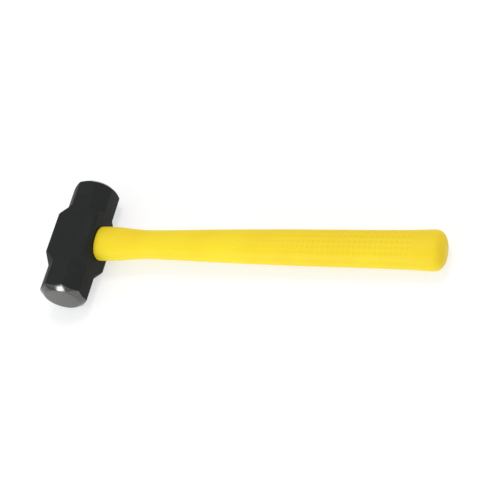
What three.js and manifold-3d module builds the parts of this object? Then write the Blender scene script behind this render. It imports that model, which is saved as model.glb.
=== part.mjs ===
// A two-faced hand hammer: a forged head with octagonal barrels, held by epoxy on an oval
// fibreglass core that a moulded yellow jacket covers from the head to the butt.
//
// Millimetres. +X runs along the handle towards the butt, +Y along the head, +Z up out of the
// cheek that lies uppermost. The origin is on the lower cheek, straight below the eye's centre.

import * as THREE from 'three';
import { ConvexGeometry } from 'three/addons/geometries/ConvexGeometry.js';
import { mergeVertices } from 'three/addons/utils/BufferGeometryUtils.js';
import Module from 'manifold-3d';

const wasm = await Module();
wasm.setup();

// Driving dimensions.
const headLength = 115.3;
const barrelFlats = 39.5; // across the flats of both octagonal barrels
const cheekWidth = 41.1; // block around the eye, measured along the handle
const cheekChamfer = 2.4;
const cheekFlatLength = 39.2; // length of the block at its full section
const shoulderReach = 28.5; // from the eye's axis to where the barrels start
const faceRadius = 15.5; // flat of each striking face
const bevelSlope = 0.77; // how far the face bevel falls for each mm outwards

const eyeMouth = { width: 25.2, thickness: 18.6 }; // where the handle enters
const eyeTop = { width: 27.6, thickness: 20.4 }; // wider, so that the set resin can't pull out
const resinRecess = 0.6; // resin and core end below the top of the head
const damLength = 6;

const coreWidth = 20;
const coreThickness = 14;
const coreEnd = 312;

const domeDepth = 10.7; // the butt's dome, beyond the last station
const domePower = 2.5; // 2 is a half ellipse, more is flatter with a tighter edge
const collarNarrowing = 0.8; // of the rounded collar where the jacket meets the head
const sectionPower = 2.3; // 2 is an ellipse, more is squarer
const gap = 0.3; // kept between pieces that touch

// Half width (along Y) and half thickness (along Z) of the jacket at stations along X.
const jacketStations = [
  { x: 25.5, width: 15.7, thickness: 11.9 },
  { x: 40, width: 15.4, thickness: 11.8 },
  { x: 52, width: 13.9, thickness: 11.2 },
  { x: 66, width: 12.75, thickness: 10.8 },
  { x: 90, width: 13.05, thickness: 11 },
  { x: 130, width: 14.25, thickness: 11.5 },
  { x: 200, width: 15.5, thickness: 11.95 },
  { x: 290, width: 16.1, thickness: 12.4 },
  { x: 308, width: 16.5, thickness: 12.7 },
  { x: 322.6, width: 17.2, thickness: 13.2 },
];

const jacketEnd = jacketStations[jacketStations.length - 1].x + domeDepth;
const ovalSides = 40;
const collarSteps = 5;
const sideSteps = 36;
const domeSteps = 9;
const axisHeight = barrelFlats / 2;
const headHalf = headLength / 2;
const mouthX = cheekWidth / 2;
const topX = -cheekWidth / 2;

// A three.js geometry as a solid that can be joined and cut.
function toSolid(geometry) {
  const bare = geometry.clone();
  bare.deleteAttribute('normal');
  bare.deleteAttribute('uv');
  const merged = mergeVertices(bare, 1e-4);
  const mesh = new wasm.Mesh({
    numProp: 3,
    vertProperties: new Float32Array(merged.attributes.position.array),
    triVerts: new Uint32Array(merged.index.array),
  });
  return new wasm.Manifold(mesh);
}

// The way back, with flat shading on the facets.
function toGeometry(solid) {
  const mesh = solid.getMesh();
  const geometry = new THREE.BufferGeometry();
  geometry.setAttribute('position', new THREE.BufferAttribute(mesh.vertProperties, 3));
  geometry.setIndex(new THREE.BufferAttribute(mesh.triVerts, 1));
  geometry.computeVertexNormals();
  return geometry;
}

// Corners of a rectangle with cut corners, in the XZ plane at height y along the head.
function cutRectangle(halfX, halfZ, cutX, cutZ, y) {
  const corners = [];
  for (const signX of [-1, 1]) {
    for (const signZ of [-1, 1]) {
      corners.push(new THREE.Vector3(signX * (halfX - cutX), y, signZ * halfZ));
      corners.push(new THREE.Vector3(signX * halfX, y, signZ * (halfZ - cutZ)));
    }
  }
  return corners;
}

// One regular octagonal prism, as long as the head.
function barrelSolid() {
  const half = barrelFlats / 2;
  const cut = half * (1 - Math.tan(Math.PI / 8));
  const points = [
    ...cutRectangle(half, half, cut, cut, -headHalf),
    ...cutRectangle(half, half, cut, cut, headHalf),
  ];
  return toSolid(new ConvexGeometry(points));
}

// The block around the eye, with shoulders that run down to the barrels.
function cheekSolid() {
  const half = barrelFlats / 2;
  const cut = half * (1 - Math.tan(Math.PI / 8));
  const points = [];
  for (const side of [-1, 1]) {
    const flatEnd = side * cheekFlatLength / 2;
    points.push(...cutRectangle(cheekWidth / 2, half, cheekChamfer, cheekChamfer, flatEnd));
    points.push(...cutRectangle(half, half, cut, cut, side * shoulderReach));
  }
  return toSolid(new ConvexGeometry(points));
}

// A turned envelope that puts the conical bevel round both striking faces.
function bevelEnvelope() {
  const reach = 13;
  const outer = faceRadius + reach;
  const profile = [
    new THREE.Vector2(0, -headHalf),
    new THREE.Vector2(faceRadius, -headHalf),
    new THREE.Vector2(outer, -headHalf + bevelSlope * reach),
    new THREE.Vector2(outer, headHalf - bevelSlope * reach),
    new THREE.Vector2(faceRadius, headHalf),
    new THREE.Vector2(0, headHalf),
  ];
  return toSolid(new THREE.LatheGeometry(profile, 96));
}

// Width and thickness of the eye at a place along X, with a wall taken off all round.
function eyeSection(x, wall) {
  const share = (x - mouthX) / (topX - mouthX);
  return {
    width: THREE.MathUtils.lerp(eyeMouth.width, eyeTop.width, share) - 2 * wall,
    thickness: THREE.MathUtils.lerp(eyeMouth.thickness, eyeTop.thickness, share) - 2 * wall,
  };
}

// The tapered oval that fills the eye from one place along X to another.
function eyePlug(fromX, toX, wall) {
  const start = eyeSection(fromX, wall);
  const end = eyeSection(toX, wall);
  const geometry = new THREE.CylinderGeometry(1, 1, toX - fromX, ovalSides);
  geometry.rotateZ(-Math.PI / 2);
  geometry.translate((fromX + toX) / 2, 0, 0);
  const position = geometry.attributes.position;
  for (let i = 0; i < position.count; i += 1) {
    const section = Math.abs(position.getX(i) - fromX) < 0.01 ? start : end;
    position.setY(i, position.getY(i) * section.width / 2);
    position.setZ(i, position.getZ(i) * section.thickness / 2);
  }
  return toSolid(geometry);
}

// The oval bar that fills the core's place, grown by a clearance all round.
function coreBar(fromX, toX, clearance) {
  const outline = new THREE.Shape();
  outline.absellipse(0, 0, coreThickness / 2 + clearance, coreWidth / 2 + clearance, 0, 2 * Math.PI);
  const settings = { depth: toX - fromX, bevelEnabled: false, curveSegments: ovalSides };
  const geometry = new THREE.ExtrudeGeometry(outline, settings);
  geometry.rotateY(Math.PI / 2);
  geometry.translate(fromX, 0, 0);
  return toSolid(geometry);
}

// The jacket's side view: rounded collar, waist, swelling grip and domed butt.
function jacketProfile() {
  const first = jacketStations[0];
  const last = jacketStations[jacketStations.length - 1];
  const start = mouthX + gap;
  const side = new THREE.SplineCurve(jacketStations.map((s) => new THREE.Vector2(s.width, s.x)));
  const points = [new THREE.Vector2(0, start)];
  for (let i = 0; i < collarSteps; i += 1) {
    const angle = (i / collarSteps) * Math.PI / 2;
    const drop = collarNarrowing * (1 - Math.sin(angle));
    points.push(new THREE.Vector2(first.width - drop, first.x - (first.x - start) * Math.cos(angle)));
  }
  points.push(...side.getPoints(sideSteps));
  for (let i = 1; i < domeSteps; i += 1) {
    const angle = (i / domeSteps) * Math.PI / 2;
    const radius = last.width * Math.cos(angle) ** (2 / domePower);
    points.push(new THREE.Vector2(radius, last.x + domeDepth * Math.sin(angle) ** (2 / domePower)));
  }
  points.push(new THREE.Vector2(0, jacketEnd));
  return points;
}

// Thickness divided by width at a place along X.
function flatness(x) {
  const stations = jacketStations;
  const inside = THREE.MathUtils.clamp(x, stations[0].x, stations[stations.length - 1].x);
  const next = Math.max(1, stations.findIndex((s) => s.x >= inside));
  const low = stations[next - 1];
  const high = stations[next];
  const share = (inside - low.x) / (high.x - low.x);
  return THREE.MathUtils.lerp(low.thickness / low.width, high.thickness / high.width, share);
}

// Turned from its side view, then pressed from round to a squarish oval.
function jacketSolid() {
  const geometry = new THREE.LatheGeometry(jacketProfile(), ovalSides);
  geometry.rotateZ(-Math.PI / 2);
  const position = geometry.attributes.position;
  for (let i = 0; i < position.count; i += 1) {
    const y = position.getY(i);
    const z = position.getZ(i);
    const radius = Math.hypot(y, z);
    if (radius < 1e-6) {
      continue;
    }
    const across = Math.abs(y / radius) ** sectionPower + Math.abs(z / radius) ** sectionPower;
    const swell = across ** (-1 / sectionPower);
    position.setY(i, y * swell);
    position.setZ(i, z * swell * flatness(position.getX(i)));
  }
  return toSolid(geometry);
}

// The forged head, with the eye cut through it.
function headPiece() {
  const eye = eyePlug(topX - 1, mouthX + 1, 0);
  return barrelSolid().add(cheekSolid()).intersect(bevelEnvelope()).subtract(eye);
}

// Resin that fills the eye round the core, down to the dam.
function resinPiece() {
  const fromX = topX + resinRecess;
  const toX = mouthX - damLength - gap;
  return eyePlug(fromX, toX, gap).subtract(coreBar(fromX - 1, toX + 1, gap));
}

// The soft ring that keeps the resin in while it sets.
function damPiece() {
  const fromX = mouthX - damLength;
  return eyePlug(fromX, mouthX, gap).subtract(coreBar(fromX - 1, mouthX + 1, gap));
}

// The pultruded rod that carries the load from the eye to the grip.
function corePiece() {
  return coreBar(topX + resinRecess, coreEnd, 0);
}

// The moulded jacket, open at the head end where the core leaves it.
function jacketPiece() {
  return jacketSolid().subtract(coreBar(mouthX - 1, coreEnd + gap, gap));
}

const forgedBlack = new THREE.MeshStandardMaterial({ color: 0x2b2d2c, roughness: 0.55, metalness: 0.2 });
const amberResin = new THREE.MeshStandardMaterial({ color: 0x8a6a2c, roughness: 0.35, metalness: 0 });
const foamGrey = new THREE.MeshStandardMaterial({ color: 0x3a3a3a, roughness: 0.95, metalness: 0 });
const glassFibre = new THREE.MeshStandardMaterial({ color: 0xd9c98a, roughness: 0.6, metalness: 0 });
const mouldedYellow = new THREE.MeshStandardMaterial({ color: 0xf7d52b, roughness: 0.45, metalness: 0 });

const hammer = new THREE.Group();
hammer.name = 'hammer';

function addPiece(name, solid, material) {
  const piece = new THREE.Mesh(toGeometry(solid), material);
  piece.name = name;
  piece.position.z = axisHeight;
  hammer.add(piece);
}

addPiece('forged_head', headPiece(), forgedBlack);
addPiece('eye_resin', resinPiece(), amberResin);
addPiece('resin_dam', damPiece(), foamGrey);
addPiece('fibreglass_core', corePiece(), glassFibre);
addPiece('handle_jacket', jacketPiece(), mouldedYellow);

export default hammer;
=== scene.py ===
# A two-faced hand hammer lying on its cheek: the forged head, the core and resin in its eye, and
# the moulded yellow jacket with its dimpled grip. Metres, +X to the butt, +Y along the head.
import math

import bmesh
import bpy
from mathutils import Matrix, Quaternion, Vector


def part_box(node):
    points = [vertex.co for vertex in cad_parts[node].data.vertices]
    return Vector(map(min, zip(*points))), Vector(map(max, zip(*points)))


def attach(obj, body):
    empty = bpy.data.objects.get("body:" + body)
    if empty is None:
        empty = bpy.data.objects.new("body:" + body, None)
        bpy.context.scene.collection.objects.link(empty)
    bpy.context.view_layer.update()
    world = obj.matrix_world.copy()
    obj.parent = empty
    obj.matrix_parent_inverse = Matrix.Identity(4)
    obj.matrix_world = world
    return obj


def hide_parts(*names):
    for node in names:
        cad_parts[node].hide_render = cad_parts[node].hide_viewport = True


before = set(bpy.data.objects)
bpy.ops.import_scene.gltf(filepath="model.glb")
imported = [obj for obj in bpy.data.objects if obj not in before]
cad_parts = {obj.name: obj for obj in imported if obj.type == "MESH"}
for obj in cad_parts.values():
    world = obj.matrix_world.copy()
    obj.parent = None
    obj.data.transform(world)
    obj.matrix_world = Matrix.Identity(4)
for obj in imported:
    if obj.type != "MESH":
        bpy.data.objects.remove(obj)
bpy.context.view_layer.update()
mm = 0.001
touch = 0.01 * mm  # closer than this counts as the same place
weld = 0.001 * mm

headLow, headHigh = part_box("forged_head")
jacketLow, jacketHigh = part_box("handle_jacket")
coreLow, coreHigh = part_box("fibreglass_core")
resinLow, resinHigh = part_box("eye_resin")
damLow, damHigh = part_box("resin_dam")
axisHeight = (headLow.z + headHigh.z) / 2  # the axes of the head and the handle cross here
mouthX = headHigh.x  # side of the head where the handle enters
topX = headLow.x


# Moves that every piece uses

def startPiece():
    bpy.ops.object.select_all(action="DESELECT")  # nothing picked earlier joins in


def named(name):
    piece = bpy.context.object
    piece.name = name
    piece.data.name = name
    bpy.ops.object.transform_apply(location=True, rotation=True, scale=True)
    return piece


def edit():
    bpy.ops.object.mode_set(mode="EDIT")


def leaveEdit():
    bpy.ops.object.mode_set(mode="OBJECT")


def pick(kind, test):
    # kind is VERT, EDGE or FACE; test looks at one of them and says whether it is wanted
    bpy.ops.mesh.select_mode(type=kind)
    bpy.ops.mesh.select_all(action="DESELECT")
    mesh = bmesh.from_edit_mesh(bpy.context.object.data)
    mesh.normal_update()
    group = {"VERT": mesh.verts, "EDGE": mesh.edges, "FACE": mesh.faces}[kind]
    for item in [found for found in group if test(found)]:
        item.select_set(True)
    mesh.select_flush_mode()
    bmesh.update_edit_mesh(bpy.context.object.data)


def middle(edge):
    return (edge.verts[0].co + edge.verts[1].co) / 2


def useModifier(piece, kind, **settings):
    bpy.context.view_layer.objects.active = piece
    modifier = piece.modifiers.new(kind.lower(), kind)
    for key, value in settings.items():
        setattr(modifier, key, value)
    bpy.ops.object.modifier_apply(modifier=modifier.name)


def cutWith(piece, cutter, operation):
    startPiece()
    piece.select_set(True)
    useModifier(piece, "BOOLEAN", object=cutter, operation=operation, solver="EXACT")
    bpy.data.objects.remove(cutter)


def drawRing(here, ring):
    # draws an open edge on from one (x, width, thickness) to the next
    x, width, thickness = ring
    bpy.ops.mesh.extrude_region_move(TRANSFORM_OT_translate={"value": (x - here[0], 0, 0)})
    ratio = (1, width / here[1], thickness / here[2])
    bpy.ops.transform.resize(value=ratio, center_override=(x, 0, axisHeight))
    return ring


def smoothUp(piece, degrees):
    startPiece()
    piece.select_set(True)
    bpy.context.view_layer.objects.active = piece
    bpy.ops.object.shade_smooth_by_angle(angle=math.radians(degrees))


def finishPiece(piece, node, material):
    piece.data.materials.clear()
    piece.data.materials.append(material)
    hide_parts(node)
    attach(piece, "root")
    print(piece.name, "has", len(piece.data.polygons), "faces")


# Shader maths

class Wire:
    # one output socket, so that sums on it read like sums
    def __init__(self, recipe, socket):
        self.recipe = recipe
        self.socket = socket

    def math(self, operation, *values):
        return self.recipe.node("ShaderNodeMath", {"operation": operation}, dict(enumerate(values)))

    def __add__(self, other):
        return self.math("ADD", self, other)

    def __radd__(self, other):
        return self.math("ADD", other, self)

    def __sub__(self, other):
        return self.math("SUBTRACT", self, other)

    def __rsub__(self, other):
        return self.math("SUBTRACT", other, self)

    def __mul__(self, other):
        return self.math("MULTIPLY", self, other)

    def __rmul__(self, other):
        return self.math("MULTIPLY", other, self)

    def size(self):
        return self.math("ABSOLUTE", self)

    def root(self):
        return self.math("SQRT", self)

    def larger(self, other):
        return self.math("MAXIMUM", self, other)

    def between(self, low, high):
        # 0 below low, 1 above high, smooth in the middle
        limits = {"Value": self, "From Min": low, "From Max": high}
        return self.recipe.node("ShaderNodeMapRange", {"interpolation_type": "SMOOTHSTEP"}, limits)


class Recipe:
    # the nodes of a material or of the world, made one by one
    def __init__(self, owner):
        owner.use_nodes = True
        self.owner = owner
        self.tree = owner.node_tree
        self.tree.nodes.clear()

    def node(self, kind, settings=None, inputs=None, output=0):
        made = self.tree.nodes.new(kind)
        for key, value in (settings or {}).items():
            setattr(made, key, value)
        for key, value in (inputs or {}).items():
            if isinstance(value, Wire):
                self.tree.links.new(value.socket, made.inputs[key])
            else:
                made.inputs[key].default_value = value
        return Wire(self, made.outputs[output]) if len(made.outputs) else None

    def place(self):
        return self.node("ShaderNodeTexCoord", output="Object")

    def split(self, vector):
        return [self.node("ShaderNodeSeparateXYZ", {}, {0: vector}, output=axis) for axis in range(3)]

    def stretched(self, vector, scale):
        return self.node("ShaderNodeMapping", {}, {"Vector": vector, "Scale": scale})

    def noise(self, vector, scale, detail=3.0, roughness=0.5):
        inputs = {"Vector": vector, "Scale": scale, "Detail": detail, "Roughness": roughness}
        return self.node("ShaderNodeTexNoise", {}, inputs)

    def cells(self, vector, scale):
        return self.node("ShaderNodeTexVoronoi", {}, {"Vector": vector, "Scale": scale})

    def mixColor(self, factor, first, second):
        # the Mix node's sockets 6 and 7 and its output 2 are the ones for colours
        return self.node("ShaderNodeMix", {"data_type": "RGBA"}, {0: factor, 6: first, 7: second}, output=2)

    def bump(self, height, strength, distance):
        inputs = {"Height": height, "Strength": strength, "Distance": distance}
        return self.node("ShaderNodeBump", {}, inputs)

    def finish(self, sockets):
        shader = self.node("ShaderNodeBsdfPrincipled", {}, sockets)
        self.node("ShaderNodeOutputMaterial", {}, {"Surface": shader})
        return self.owner


def newLook(name):
    return Recipe(bpy.data.materials.new(name))


# The forged head

head = {
    "cheekLength": 39.2 * mm,  # block round the eye, at its full section
    "shoulderReach": 28.5 * mm,  # from the eye's axis to where the barrels start
    "cheekChamfer": 2.4 * mm,
    "faceRadius": 15.5 * mm,
    "bevelSlope": 0.77,  # fall of the face bevel for each metre outwards
    "crown": 0.2 * mm,  # height of each striking face's swell
    "crownSteps": 6,
    "turnedSides": 144,
    "forgedRadius": 0.7 * mm,  # soft edges left by the dies
    "groundRadius": 0.15 * mm,  # crisp edges left by the grinder
    "groundLength": 6 * mm,  # from each end, where the grinder has been
    "eyeMouth": (25.2 * mm, 18.6 * mm),
    "eyeTop": (27.6 * mm, 20.4 * mm),
    "eyeSides": 96,
    "eyeLip": 0.5 * mm,
}

blackPaint = {
    "dark": (0.0190, 0.0218, 0.0212, 1),
    "light": (0.0225, 0.0252, 0.0245, 1),
    "roughness": 0.46,
    "pitRoughness": 0.16,  # what the pits add
    "edgeStart": 0.35 * mm,  # the paint ends between these two depths under the ground cone
    "edgeEnd": 0.15 * mm,
    "edgeWobble": 0.3 * mm,
    "bumpHeight": 0.08 * mm,
}

groundSteel = {
    "dark": (0.115, 0.115, 0.11, 1),
    "light": (0.15, 0.15, 0.145, 1),
    "roughness": 0.13,
    "scratchRoughness": 0.1,
    "scratches": (700, 60, 700),  # fine across the ends, drawn out along the head
    "metallic": 0.9,
    "smoothing": 0.85,  # share of the paint's bump that grinding takes away
}


def bareSteel(look, place):
    # 1 where the cone and the faces are ground bare, 0 on the paint
    x, y, z = look.split(place)
    across = z - axisHeight
    radius = (x * x + across * across).root()
    wobble = look.noise(place, scale=160, detail=4) - 0.5
    reach = y.size() + radius * head["bevelSlope"]
    coneReach = headHigh.y + head["bevelSlope"] * head["faceRadius"]
    edge = reach + wobble * blackPaint["edgeWobble"]
    cone = edge.between(coneReach - blackPaint["edgeStart"], coneReach - blackPaint["edgeEnd"])
    face = y.size().between(headHigh.y - head["crown"] * 2, headHigh.y - head["crown"] * 1.6)
    return cone.larger(face)


def paintAndSteel():
    # satin black paint over the forging, ground off round both faces
    look = newLook("paintAndSteel")
    place = look.place()
    bare = bareSteel(look, place)
    cloud = look.noise(place, scale=35, detail=4, roughness=0.6)
    grain = look.noise(place, scale=900, detail=3, roughness=0.6)
    pits = look.noise(place, scale=260, detail=4, roughness=0.65)
    drawn = look.stretched(place, groundSteel["scratches"])
    scratch = look.noise(drawn, scale=1, detail=4, roughness=0.7)
    paint = look.mixColor(cloud.between(0.35, 0.7), blackPaint["dark"], blackPaint["light"])
    steel = look.mixColor(scratch.between(0.3, 0.75), groundSteel["dark"], groundSteel["light"])
    paintRough = blackPaint["roughness"] + pits * blackPaint["pitRoughness"]
    steelRough = groundSteel["roughness"] + scratch * groundSteel["scratchRoughness"]
    height = (grain * 0.25 + pits) * (1 - bare * groundSteel["smoothing"])
    return look.finish({
        "Base Color": look.mixColor(bare, paint, steel),
        "Metallic": bare * groundSteel["metallic"],
        "Roughness": paintRough + bare * (steelRough - paintRough),
        "Normal": look.bump(height, strength=0.35, distance=blackPaint["bumpHeight"]),
        "Specular IOR Level": 0.06,
    })


def makeBarrels():
    # one octagonal bar as long as the head, flats up and down
    startPiece()
    length = headHigh.y - headLow.y
    flats = headHigh.z - headLow.z
    corner = flats / 2 / math.cos(math.pi / 8)
    flatsUp = (math.pi / 2, math.pi / 8, 0)
    bpy.ops.mesh.primitive_cylinder_add(
        vertices=8, radius=corner, depth=length, location=(0, 0, axisHeight), rotation=flatsUp)
    piece = named("hammerHead")
    edit()
    for side in (-1, 1):
        for reach in (head["cheekLength"] / 2, head["shoulderReach"]):
            bpy.ops.mesh.select_all(action="SELECT")
            bpy.ops.mesh.bisect(plane_co=(0, side * reach, 0), plane_no=(0, 1, 0))
    leaveEdit()
    return piece


def swellCheeks():
    # the corners of the two middle rings are pulled out into the block round the eye
    half = (headHigh.z - headLow.z) / 2
    near = half * math.tan(math.pi / 8)
    chamfer = head["cheekChamfer"]
    wide = headHigh.x
    ringReach = head["cheekLength"] * 0.51  # takes in the middle rings and stops short of the next
    edit()
    for signX in (-1, 1):
        for signZ in (-1, 1):
            def flatCorner(vertex):
                x, z = vertex.co.x * signX, (vertex.co.z - axisHeight) * signZ
                return abs(vertex.co.y) < ringReach and 0 < x < z

            def sideCorner(vertex):
                x, z = vertex.co.x * signX, (vertex.co.z - axisHeight) * signZ
                return abs(vertex.co.y) < ringReach and 0 < z < x

            pick("VERT", flatCorner)
            bpy.ops.transform.translate(value=(signX * (wide - chamfer - near), 0, 0))
            pick("VERT", sideCorner)
            shift = (signX * (wide - half), 0, signZ * (half - chamfer - near))
            bpy.ops.transform.translate(value=shift)
    leaveEdit()


def softenForging():
    edit()
    inside = headHigh.y - 1 * mm  # the ends are ground later, so their edges stay sharp here
    crease = math.radians(8)
    pick("EDGE", lambda edge: abs(middle(edge).y) < inside and edge.calc_face_angle(0) > crease)
    bpy.ops.mesh.bevel(offset=head["forgedRadius"], segments=3, profile=0.5, clamp_overlap=True)
    leaveEdit()


def grindEnvelope():
    # turned shape that leaves the conical bevels and the slightly swelled faces
    startPiece()
    outer = headHigh.x * 1.4  # clear of the barrels' corners all round
    rim = head["faceRadius"] + head["crown"] / head["bevelSlope"]
    fall = (outer - head["faceRadius"]) * head["bevelSlope"]
    bpy.ops.mesh.primitive_cylinder_add(
        vertices=head["turnedSides"], radius=outer, depth=2 * (headHigh.y - fall),
        location=(0, 0, axisHeight), rotation=(math.pi / 2, 0, 0))
    piece = named("grindEnvelope")
    edit()
    steps = head["crownSteps"]
    for side in (-1, 1):
        pick("FACE", lambda face: face.normal.y * side > 0.99)
        bpy.ops.mesh.inset(thickness=outer - rim, depth=(outer - rim) * head["bevelSlope"])
        for step in range(steps):
            start = 1 - step / steps
            end = 1 - (step + 1) / steps * 0.98  # stops just short of the middle
            rise = head["crown"] * (start ** 2 - end ** 2)
            bpy.ops.mesh.inset(thickness=rim * (start - end), depth=rise)
    leaveEdit()
    return piece


def ovalBar(name, startX, endX, startSize, endSize, sides):
    # oval bar along X, tapered from one end's width and thickness to the other's
    startPiece()
    bpy.ops.mesh.primitive_cylinder_add(
        vertices=sides, radius=0.5, depth=endX - startX,
        location=((startX + endX) / 2, 0, axisHeight), rotation=(0, math.pi / 2, 0))
    piece = named(name)
    edit()
    for x, (width, thickness) in ((startX, startSize), (endX, endSize)):
        pick("VERT", lambda vertex: abs(vertex.co.x - x) < touch)
        bpy.ops.transform.resize(value=(1, width, thickness), center_override=(x, 0, axisHeight))
    leaveEdit()
    return piece


def eyeSize(x, wall=0.0):
    # width and thickness of the tapered eye at a place along X, less a wall all round
    share = (x - mouthX) / (topX - mouthX)
    sizes = zip(head["eyeMouth"], head["eyeTop"])
    return tuple(low + (high - low) * share - 2 * wall for low, high in sizes)


def eyeCutter():
    start = topX - 1 * mm  # runs a little past the head at both ends
    end = mouthX + 1 * mm
    return ovalBar("eye", start, end, eyeSize(start), eyeSize(end), head["eyeSides"])


def easeGroundEdges():
    edit()
    sharp = math.radians(28)
    groundFrom = headHigh.y - head["groundLength"]
    pick("EDGE", lambda edge: abs(middle(edge).y) > groundFrom and edge.calc_face_angle(0) > sharp)
    bpy.ops.mesh.bevel(offset=head["groundRadius"], segments=2, profile=0.5, clamp_overlap=True)
    leaveEdit()


def easeEyeLips():
    edit()

    def onLip(edge):
        spot = middle(edge)
        if abs(abs(spot.x) - headHigh.x) > touch:
            return False
        if abs(edge.verts[0].co.x - edge.verts[1].co.x) > touch:
            return False
        width, thickness = eyeSize(spot.x)
        reach = math.hypot(spot.y / width * 2, (spot.z - axisHeight) / thickness * 2)
        return 0.97 < reach < 1.03  # 1 is on the oval

    pick("EDGE", onLip)
    bpy.ops.mesh.bevel(offset=head["eyeLip"], segments=3, profile=0.5, clamp_overlap=True)
    leaveEdit()


def makeHead():
    piece = makeBarrels()
    swellCheeks()
    softenForging()
    cutWith(piece, grindEnvelope(), "INTERSECT")
    cutWith(piece, eyeCutter(), "DIFFERENCE")
    easeGroundEdges()
    easeEyeLips()
    smoothUp(piece, degrees=32)
    finishPiece(piece, "forged_head", paintAndSteel())


# The moulded jacket

jacket = {
    # half width along Y and half thickness along Z at places along X, all in millimetres
    "stations": [
        (25.5, 15.7, 11.9),
        (40, 15.4, 11.8),
        (52, 13.9, 11.2),
        (66, 12.75, 10.8),
        (90, 13.05, 11),
        (130, 14.25, 11.5),
        (200, 15.5, 11.95),
        (290, 16.1, 12.4),
        (308, 16.5, 12.7),
        (322.6, 17.2, 13.2),
    ],
    "sides": 20,
    "sectionPower": 2.3,  # 2 is an ellipse, more is squarer
    "domePower": 2.5,
    "domeSteps": 7,
    "collarNarrowing": 0.3 * mm,
    "collarSteps": 4,
    "collarLip": 0.35 * mm,  # keeps the collar's corner crisp when it is smoothed
    "plainStep": 9 * mm,  # between rings where there are no dimples
    "bore": (10.3 * mm, 7.3 * mm),
    "boreEnd": 312.3 * mm,
    "boreRings": [311.5, 250, 180, 110, 50, 24, 21.2],  # in millimetres, close together at the ends
    "boreLip": 0.8 * mm,
    "gripStart": 153 * mm,
    "gripEnd": 307 * mm,
    "gripStep": 4.4 * mm,
    "gripRows": 2,  # to each side of the middle row, on both broad sides
    "dimpleRim": 0.7 * mm,
    "dimpleWall": 0.55 * mm,
    "dimpleDepth": 0.42 * mm,
    "fadeStart": 0.25,  # share of the full depth in the first column
    "fadeLength": 90 * mm,
}

yellow = {
    "orange": (0.85, 0.63, 0.021, 1),
    "lemon": (0.865, 0.69, 0.024, 1),
    # painted shade: a deeper orange laid into the dimples' floors, standing in for the shade in them
    "dimpleShadeColor": (0.78, 0.53, 0.016, 1),
    "dimpleShadeShare": 0.2,  # share of the painted shade colour on a full dimple's floor
    "roughness": 0.44,
    "grainRoughness": 0.12,
}


def mouldedYellow():
    look = newLook("mouldedYellow")
    place = look.place()
    cloud = look.noise(place, scale=22, detail=3, roughness=0.5)
    grain = look.noise(place, scale=1500, detail=2, roughness=0.5)
    clean = look.mixColor(cloud.between(0.3, 0.7), yellow["orange"], yellow["lemon"])
    hollow = look.node("ShaderNodeAttribute", {"attribute_name": "dimple"}, output="Fac")
    return look.finish({
        # painted shade: each dimple's floor is mixed towards the darker orange by its depth
        "Base Color": look.mixColor(hollow * yellow["dimpleShadeShare"], clean, yellow["dimpleShadeColor"]),
        "Roughness": yellow["roughness"] + grain * yellow["grainRoughness"],
        "Normal": look.bump(grain, strength=0.2, distance=0.05 * mm),
        "Specular IOR Level": 0.2,
    })


def halfSize(x):
    # half width and half thickness at a place along X, on a smooth curve through the stations
    stations = [tuple(value * mm for value in station) for station in jacket["stations"]]
    if x <= stations[0][0]:
        return stations[0][1:]
    if x >= stations[-1][0]:
        return stations[-1][1:]
    last = len(stations) - 1
    low = max(index for index in range(last) if stations[index][0] <= x)
    before, start, end, after = (stations[min(max(low + step, 0), last)] for step in (-1, 0, 1, 2))
    run = end[0] - start[0]
    share = (x - start[0]) / run
    sizes = []
    for axis in (1, 2):
        slopeStart = (end[axis] - before[axis]) / (end[0] - before[0]) * run
        slopeEnd = (after[axis] - start[axis]) / (after[0] - start[0]) * run
        sizes.append(
            start[axis] * (2 * share ** 3 - 3 * share ** 2 + 1)
            + slopeStart * (share ** 3 - 2 * share ** 2 + share)
            + end[axis] * (3 * share ** 2 - 2 * share ** 3)
            + slopeEnd * (share ** 3 - share ** 2))
    return tuple(sizes)


def collarRings(first):
    width, thickness = halfSize(first)
    rings = []
    for step in range(jacket["collarSteps"]):
        angle = step / jacket["collarSteps"] * math.pi / 2
        drop = jacket["collarNarrowing"] * (1 - math.sin(angle))
        x = first - (first - jacketLow.x) * math.cos(angle)
        rings.append((x, width - drop, thickness - drop * thickness / width))
    return rings


def sideRings(first, last):
    # evenly spaced in each span, and one for each edge between two columns of dimples
    spans = ((first, jacket["gripStart"], jacket["plainStep"]),
             (jacket["gripStart"], jacket["gripEnd"], jacket["gripStep"]),
             (jacket["gripEnd"], last, jacket["plainStep"]))
    places = []
    for start, end, step in spans:
        count = max(1, round((end - start) / step))
        places += [start + (end - start) * index / count for index in range(count)]
    return [(x, *halfSize(x)) for x in places]


def domeRings(last):
    width, thickness = halfSize(last)
    depth = jacketHigh.x - last
    power = 2 / jacket["domePower"]
    rings = []
    for step in range(jacket["domeSteps"]):
        angle = step / jacket["domeSteps"] * math.pi / 2
        shrink = math.cos(angle) ** power
        x = last + depth * math.sin(angle) ** power
        rings.append((x, width * shrink, thickness * shrink))
    return rings


def jacketRings():
    # (x, half width, half thickness) of every ring: out of the bore, round the mouth, to the butt
    first = jacket["stations"][0][0] * mm
    last = jacket["stations"][-1][0] * mm
    width, thickness = jacket["bore"]
    boreLip = jacket["boreLip"]
    collarLip = jacket["collarLip"]
    bore = [(x * mm, width, thickness) for x in jacket["boreRings"]]
    outside = collarRings(first) + sideRings(first, last) + domeRings(last)
    mouth = [
        (jacketLow.x, width, thickness),
        (jacketLow.x, width + boreLip, thickness + boreLip),
        (jacketLow.x, outside[0][1] - collarLip, outside[0][2] - collarLip),
    ]
    return bore + mouth + outside


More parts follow.
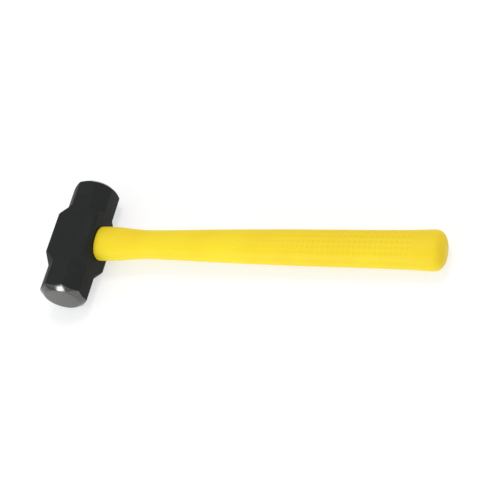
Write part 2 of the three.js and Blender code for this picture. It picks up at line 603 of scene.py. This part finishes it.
def swellSection():
    # rows between the broad sides and the spines are pushed out, so that the oval gets squarer
    power = jacket["sectionPower"]
    step = 2 * math.pi / jacket["sides"]
    for row in range(jacket["sides"] // 4):
        angle = (row + 0.5) * step
        swell = (math.cos(angle) ** power + math.sin(angle) ** power) ** (-1 / power)

        def inRow(vertex):
            found = math.atan2(abs(vertex.co.z - axisHeight), abs(vertex.co.y))
            return abs(found - angle) < step / 4

        pick("VERT", inRow)
        centre = (jacket["boreEnd"], 0, axisHeight)
        bpy.ops.transform.resize(value=(1, swell, swell), center_override=centre)


def closeEnds():
    for x in (jacket["boreEnd"], jacketHigh.x):
        pick("EDGE", lambda edge: edge.is_boundary and abs(middle(edge).x - x) < 0.5 * mm)
        bpy.ops.mesh.edge_face_add()
    bpy.ops.mesh.select_all(action="SELECT")
    bpy.ops.mesh.normals_make_consistent(inside=False)


def dimpleShare(x):
    # the pattern is worn and shallow at the waist's end and full along the palm
    fade = min(1, max(0, (x - jacket["gripStart"]) / jacket["fadeLength"]))
    return jacket["fadeStart"] + (1 - jacket["fadeStart"]) * fade * fade * (3 - 2 * fade)


def pickColumn(x):
    # faces of one column of dimples, on both broad sides
    width, thickness = halfSize(x)
    widest = (jacket["gripRows"] + 0.5) * 2 * math.pi / jacket["sides"]

    def inColumn(face):
        spot = face.calc_center_median()
        if abs(spot.x - x) > jacket["gripStep"] / 4:
            return False
        up = (spot.z - axisHeight) / thickness
        side = spot.y / width
        outside = math.hypot(up, side) > 0.8  # the bore's wall lies well inside this
        return outside and math.atan2(abs(side), abs(up)) < widest

    pick("FACE", inColumn)


def markHollows(piece, share):
    # notes how deep the selected floors are, for the painted shade in the dimples
    mesh = bmesh.from_edit_mesh(piece.data)
    layer = mesh.verts.layers.float["dimple"]
    for face in mesh.faces:
        if face.select:
            for vertex in face.verts:
                vertex[layer] = share
    bmesh.update_edit_mesh(piece.data)


def pressDimples(piece):
    bmesh.from_edit_mesh(piece.data).verts.layers.float.new("dimple")
    columns = round((jacket["gripEnd"] - jacket["gripStart"]) / jacket["gripStep"])
    for column in range(columns):
        x = jacket["gripStart"] + (column + 0.5) * jacket["gripStep"]
        share = dimpleShare(x)
        depth = jacket["dimpleDepth"] * share
        pickColumn(x)
        bpy.ops.mesh.inset(thickness=jacket["dimpleRim"], use_individual=True)
        bpy.ops.mesh.inset(thickness=jacket["dimpleWall"], depth=-depth, use_individual=True)
        markHollows(piece, share)


def drawCage(swell):
    # from the blind end of the bore, out of its mouth and round to the butt
    centre = (jacket["boreEnd"], 0, axisHeight)
    bpy.ops.mesh.select_all(action="SELECT")
    bpy.ops.transform.rotate(
        value=math.pi / jacket["sides"], orient_axis="X", center_override=centre)
    swellSection()
    bpy.ops.mesh.select_all(action="SELECT")
    width, thickness = jacket["bore"]
    here = (jacket["boreEnd"], width * swell, thickness * swell)
    bpy.ops.transform.resize(value=(1, here[1], here[2]), center_override=centre)
    for x, width, thickness in jacketRings():
        here = drawRing(here, (x, width * swell, thickness * swell))


def makeJacket():
    startPiece()
    bpy.ops.mesh.primitive_circle_add(
        vertices=jacket["sides"], radius=1, location=(jacket["boreEnd"], 0, axisHeight),
        rotation=(0, math.pi / 2, 0))
    piece = named("yellowJacket")
    edit()
    # a smoothed ring of few sides draws in a little, so the cage is that much larger
    drawCage(swell=3 / (2 + math.cos(2 * math.pi / jacket["sides"])))
    closeEnds()
    pressDimples(piece)
    leaveEdit()
    startPiece()
    piece.select_set(True)
    useModifier(piece, "SUBSURF", levels=2, render_levels=2)
    smoothUp(piece, degrees=60)
    finishPiece(piece, "handle_jacket", mouldedYellow())


# What fills the eye

eyeFill = {
    "sides": 72,
    "coreSize": (20 * mm, 14 * mm),
    "coreEase": 0.3 * mm,
    "climb": 0.25 * mm,  # how far the resin creeps up the steel
    "damEase": 0.8 * mm,  # roundness of the dam's ends
    "seam": 0.02 * mm,  # hairline between bonded pieces
}

fillColors = {
    "resinDark": (0.24, 0.13, 0.035, 1),
    "resinLight": (0.36, 0.23, 0.075, 1),
    "foamDark": (0.028, 0.028, 0.028, 1),
    "foamLight": (0.05, 0.05, 0.05, 1),
    "fibreDark": (0.50, 0.42, 0.20, 1),
    "fibreLight": (0.72, 0.66, 0.42, 1),
}


def castResin():
    look = newLook("castResin")
    place = look.place()
    cloud = look.noise(place, scale=140, detail=4, roughness=0.6)
    bubbles = look.cells(place, scale=700)
    mottle = cloud.between(0.3, 0.75)
    return look.finish({
        "Base Color": look.mixColor(mottle, fillColors["resinDark"], fillColors["resinLight"]),
        "Roughness": 0.22 + cloud * 0.15,
        "Normal": look.bump(bubbles.between(0.05, 0.3), strength=0.3, distance=0.1 * mm),
    })


def foamRubber():
    look = newLook("foamRubber")
    place = look.place()
    cells = look.cells(place, scale=1500)
    cloud = look.noise(place, scale=200)
    return look.finish({
        "Base Color": look.mixColor(cloud, fillColors["foamDark"], fillColors["foamLight"]),
        "Roughness": 0.85 + cells * 0.1,
        "Normal": look.bump(cells, strength=0.6, distance=0.2 * mm),
    })


def glassFibre():
    look = newLook("glassFibre")
    drawnOut = look.stretched(look.place(), (14, 1400, 1400))  # long strands along the handle
    strands = look.noise(drawnOut, scale=1, detail=4, roughness=0.6)
    streak = strands.between(0.3, 0.7)
    return look.finish({
        "Base Color": look.mixColor(streak, fillColors["fibreDark"], fillColors["fibreLight"]),
        "Roughness": 0.45 + strands * 0.25,
        "Normal": look.bump(strands, strength=0.4, distance=0.1 * mm),
    })


def makeSleeve(name, rings):
    # a closed ring round the core, whose section goes through these (x, width, thickness)
    startPiece()
    x, width, thickness = rings[0]
    bpy.ops.mesh.primitive_circle_add(
        vertices=eyeFill["sides"], radius=0.5, location=(x, 0, axisHeight),
        rotation=(0, math.pi / 2, 0))
    piece = named(name)
    edit()
    bpy.ops.mesh.select_all(action="SELECT")
    bpy.ops.transform.resize(value=(1, width, thickness), center_override=(x, 0, axisHeight))
    here = rings[0]
    for ring in rings[1:] + rings[:1]:
        here = drawRing(here, ring)
    bpy.ops.mesh.select_all(action="SELECT")
    bpy.ops.mesh.remove_doubles(threshold=weld)
    bpy.ops.mesh.normals_make_consistent(inside=False)
    leaveEdit()
    return piece


def grown(size, step):
    return tuple(value + 2 * step for value in size)


def makeResin():
    # the set resin clings a little higher to the eye's wall and to the core than between them
    climb = eyeFill["climb"]
    seam = eyeFill["seam"]
    level = resinLow.x
    wall = eyeSize(level)
    core = eyeFill["coreSize"]
    surface = [  # share of the climb, the size next to it, and the step away from that
        (0.3, wall, -0.5 * mm),
        (0, wall, -1.2 * mm),
        (0, core, 1.1 * mm),
        (0.3, core, 0.4 * mm),
        (0.7, core, seam),
    ]
    rings = [(resinHigh.x, *eyeSize(resinHigh.x)), (level - climb, *eyeSize(level - climb))]
    rings += [(level - climb * share, *grown(size, step)) for share, size, step in surface]
    rings.append((resinHigh.x, *grown(core, seam)))
    piece = makeSleeve("eyeResin", rings)
    smoothUp(piece, degrees=50)
    finishPiece(piece, "eye_resin", castResin())


def damEnd(x, turn):
    # rounded end of the dam, from the eye's wall to the core; turn points into the dam
    seam = eyeFill["seam"]
    ease = eyeFill["damEase"]
    shoulder = ease * 0.3
    wall = eyeSize(x, seam)
    core = grown(eyeFill["coreSize"], seam)
    return [
        (x + turn * ease, *eyeSize(x + turn * ease, seam)),
        (x + turn * shoulder, *grown(wall, -shoulder)),
        (x, *grown(wall, -ease)),
        (x, *grown(core, ease)),
        (x + turn * shoulder, *grown(core, shoulder)),
        (x + turn * ease, *core),
    ]


def makeDam():
    # soft ring squeezed between the core and the eye
    piece = makeSleeve("foamDam", damEnd(damLow.x, 1) + damEnd(damHigh.x, -1)[::-1])
    smoothUp(piece, degrees=60)
    finishPiece(piece, "resin_dam", foamRubber())


def makeCore():
    size = eyeFill["coreSize"]
    piece = ovalBar("fibreCore", coreLow.x, coreHigh.x, size, size, eyeFill["sides"])
    ends = (coreLow.x, coreHigh.x)
    edit()
    pick("EDGE", lambda edge: any(all(abs(v.co.x - x) < touch for v in edge.verts) for x in ends))
    bpy.ops.mesh.bevel(offset=eyeFill["coreEase"], segments=2, profile=0.5, clamp_overlap=True)
    leaveEdit()
    smoothUp(piece, degrees=40)
    finishPiece(piece, "fibreglass_core", glassFibre())


# Floor, light and camera

stage = {
    "floorSize": 8,
    "tentTop": (0.8, 0.8, 0.8, 1),  # overhead
    "tentFoot": (0.36, 0.36, 0.36, 1),  # at the horizon
    "tentReach": 0.55,  # height, as a share of straight up, where the tent gets to full brightness
    "tableColor": (0.40, 0.41, 0.40, 1),
    "tableCloud": (0.5, 0.5, 0.5, 1),  # faint unevenness
    "tableGlow": (0.625, 0.625, 0.64, 1),
    "lights": [
        {"name": "lowSoftbox", "energy": 6.2, "size": (0.5, 0.36), "place": (-0.18, -1.2, 0.3),
         "aim": (0, 0, 0), "color": (0.93, 1, 0.96)},
        {"name": "highSoftbox", "energy": 6, "size": (0.4, 0.4), "place": (0.15, 0.55, 1.45),
         "aim": (0.1, 0, 0), "color": (1, 0.87, 0.82)},
    ],
}

shot = {
    "azimuth": 39.92,  # degrees, as are the next two
    "elevation": 52.01,
    "roll": -32.33,
    "distance": 968.9 * mm,
    "aim": (157.4 * mm, 3.91 * mm),  # a point on the handle, level with its axis
    "lens": 85,  # millimetres, as is the sensor's width
    "sensor": 36,
}


def palePaper():
    look = newLook("palePaper")
    cloud = look.noise(look.place(), scale=9)
    return look.finish({
        "Base Color": look.mixColor(cloud * 0.05, stage["tableColor"], stage["tableCloud"]),
        "Roughness": 0.9 + cloud * 0.05,
        "Specular IOR Level": 0.1,
        "Emission Color": stage["tableGlow"],
        "Emission Strength": 1,
    })


def makeFloor():
    # the hammer rests on the rim of its cheek and the underside of the butt
    startPiece()
    restX = mouthX - head["cheekChamfer"]
    buttX = jacket["stations"][-1][0] * mm
    slope = (jacketLow.z - headLow.z) / (buttX - restX)
    bpy.ops.mesh.primitive_plane_add(
        size=stage["floorSize"], location=(restX, 0, headLow.z), rotation=(0, -math.atan(slope), 0))
    floor = named("floor")
    floor.data.materials.append(palePaper())
    print("floor laid")


def softLight(name, energy, size, place, aim, color):
    data = bpy.data.lights.new(name, "AREA")
    data.shape = "RECTANGLE"
    data.size, data.size_y = size
    data.energy = energy
    data.color = color
    light = bpy.data.objects.new(name, data)
    light.location = place
    light.rotation_mode = "QUATERNION"
    light.rotation_quaternion = (Vector(aim) - Vector(place)).to_track_quat("-Z", "Y")
    bpy.context.scene.collection.objects.link(light)


def lightStage():
    world = bpy.data.worlds.new("whiteTent")
    tent = Recipe(world)
    up = tent.split(tent.node("ShaderNodeTexCoord", output="Generated"))[2]
    shade = tent.mixColor(up.between(0, stage["tentReach"]), stage["tentFoot"], stage["tentTop"])
    glow = tent.node("ShaderNodeBackground", {}, {"Color": shade})
    tent.node("ShaderNodeOutputWorld", {}, {"Surface": glow})
    bpy.context.scene.world = world
    for light in stage["lights"]:
        softLight(**light)
    bpy.context.scene.view_settings.view_transform = "Standard"
    print("stage lit by", len(stage["lights"]), "softboxes and a tent")


def makeCamera():
    data = bpy.data.cameras.new("shot")
    data.lens = shot["lens"]
    data.sensor_width = shot["sensor"]
    camera = bpy.data.objects.new("shot", data)
    azimuth = math.radians(shot["azimuth"])
    elevation = math.radians(shot["elevation"])
    level = math.cos(elevation)
    back = Vector((math.sin(azimuth) * level, -math.cos(azimuth) * level, math.sin(elevation)))
    roll = Quaternion((0, 0, 1), math.radians(shot["roll"]))
    camera.location = Vector((*shot["aim"], axisHeight)) + back * shot["distance"]
    camera.rotation_mode = "QUATERNION"
    camera.rotation_quaternion = (-back).to_track_quat("-Z", "Y") @ roll
    bpy.context.scene.collection.objects.link(camera)
    bpy.context.scene.camera = camera
    print("camera placed")


makeCamera()
makeHead()
makeJacket()
makeCore()
makeResin()
makeDam()
makeFloor()
lightStage()
print("all pieces made")
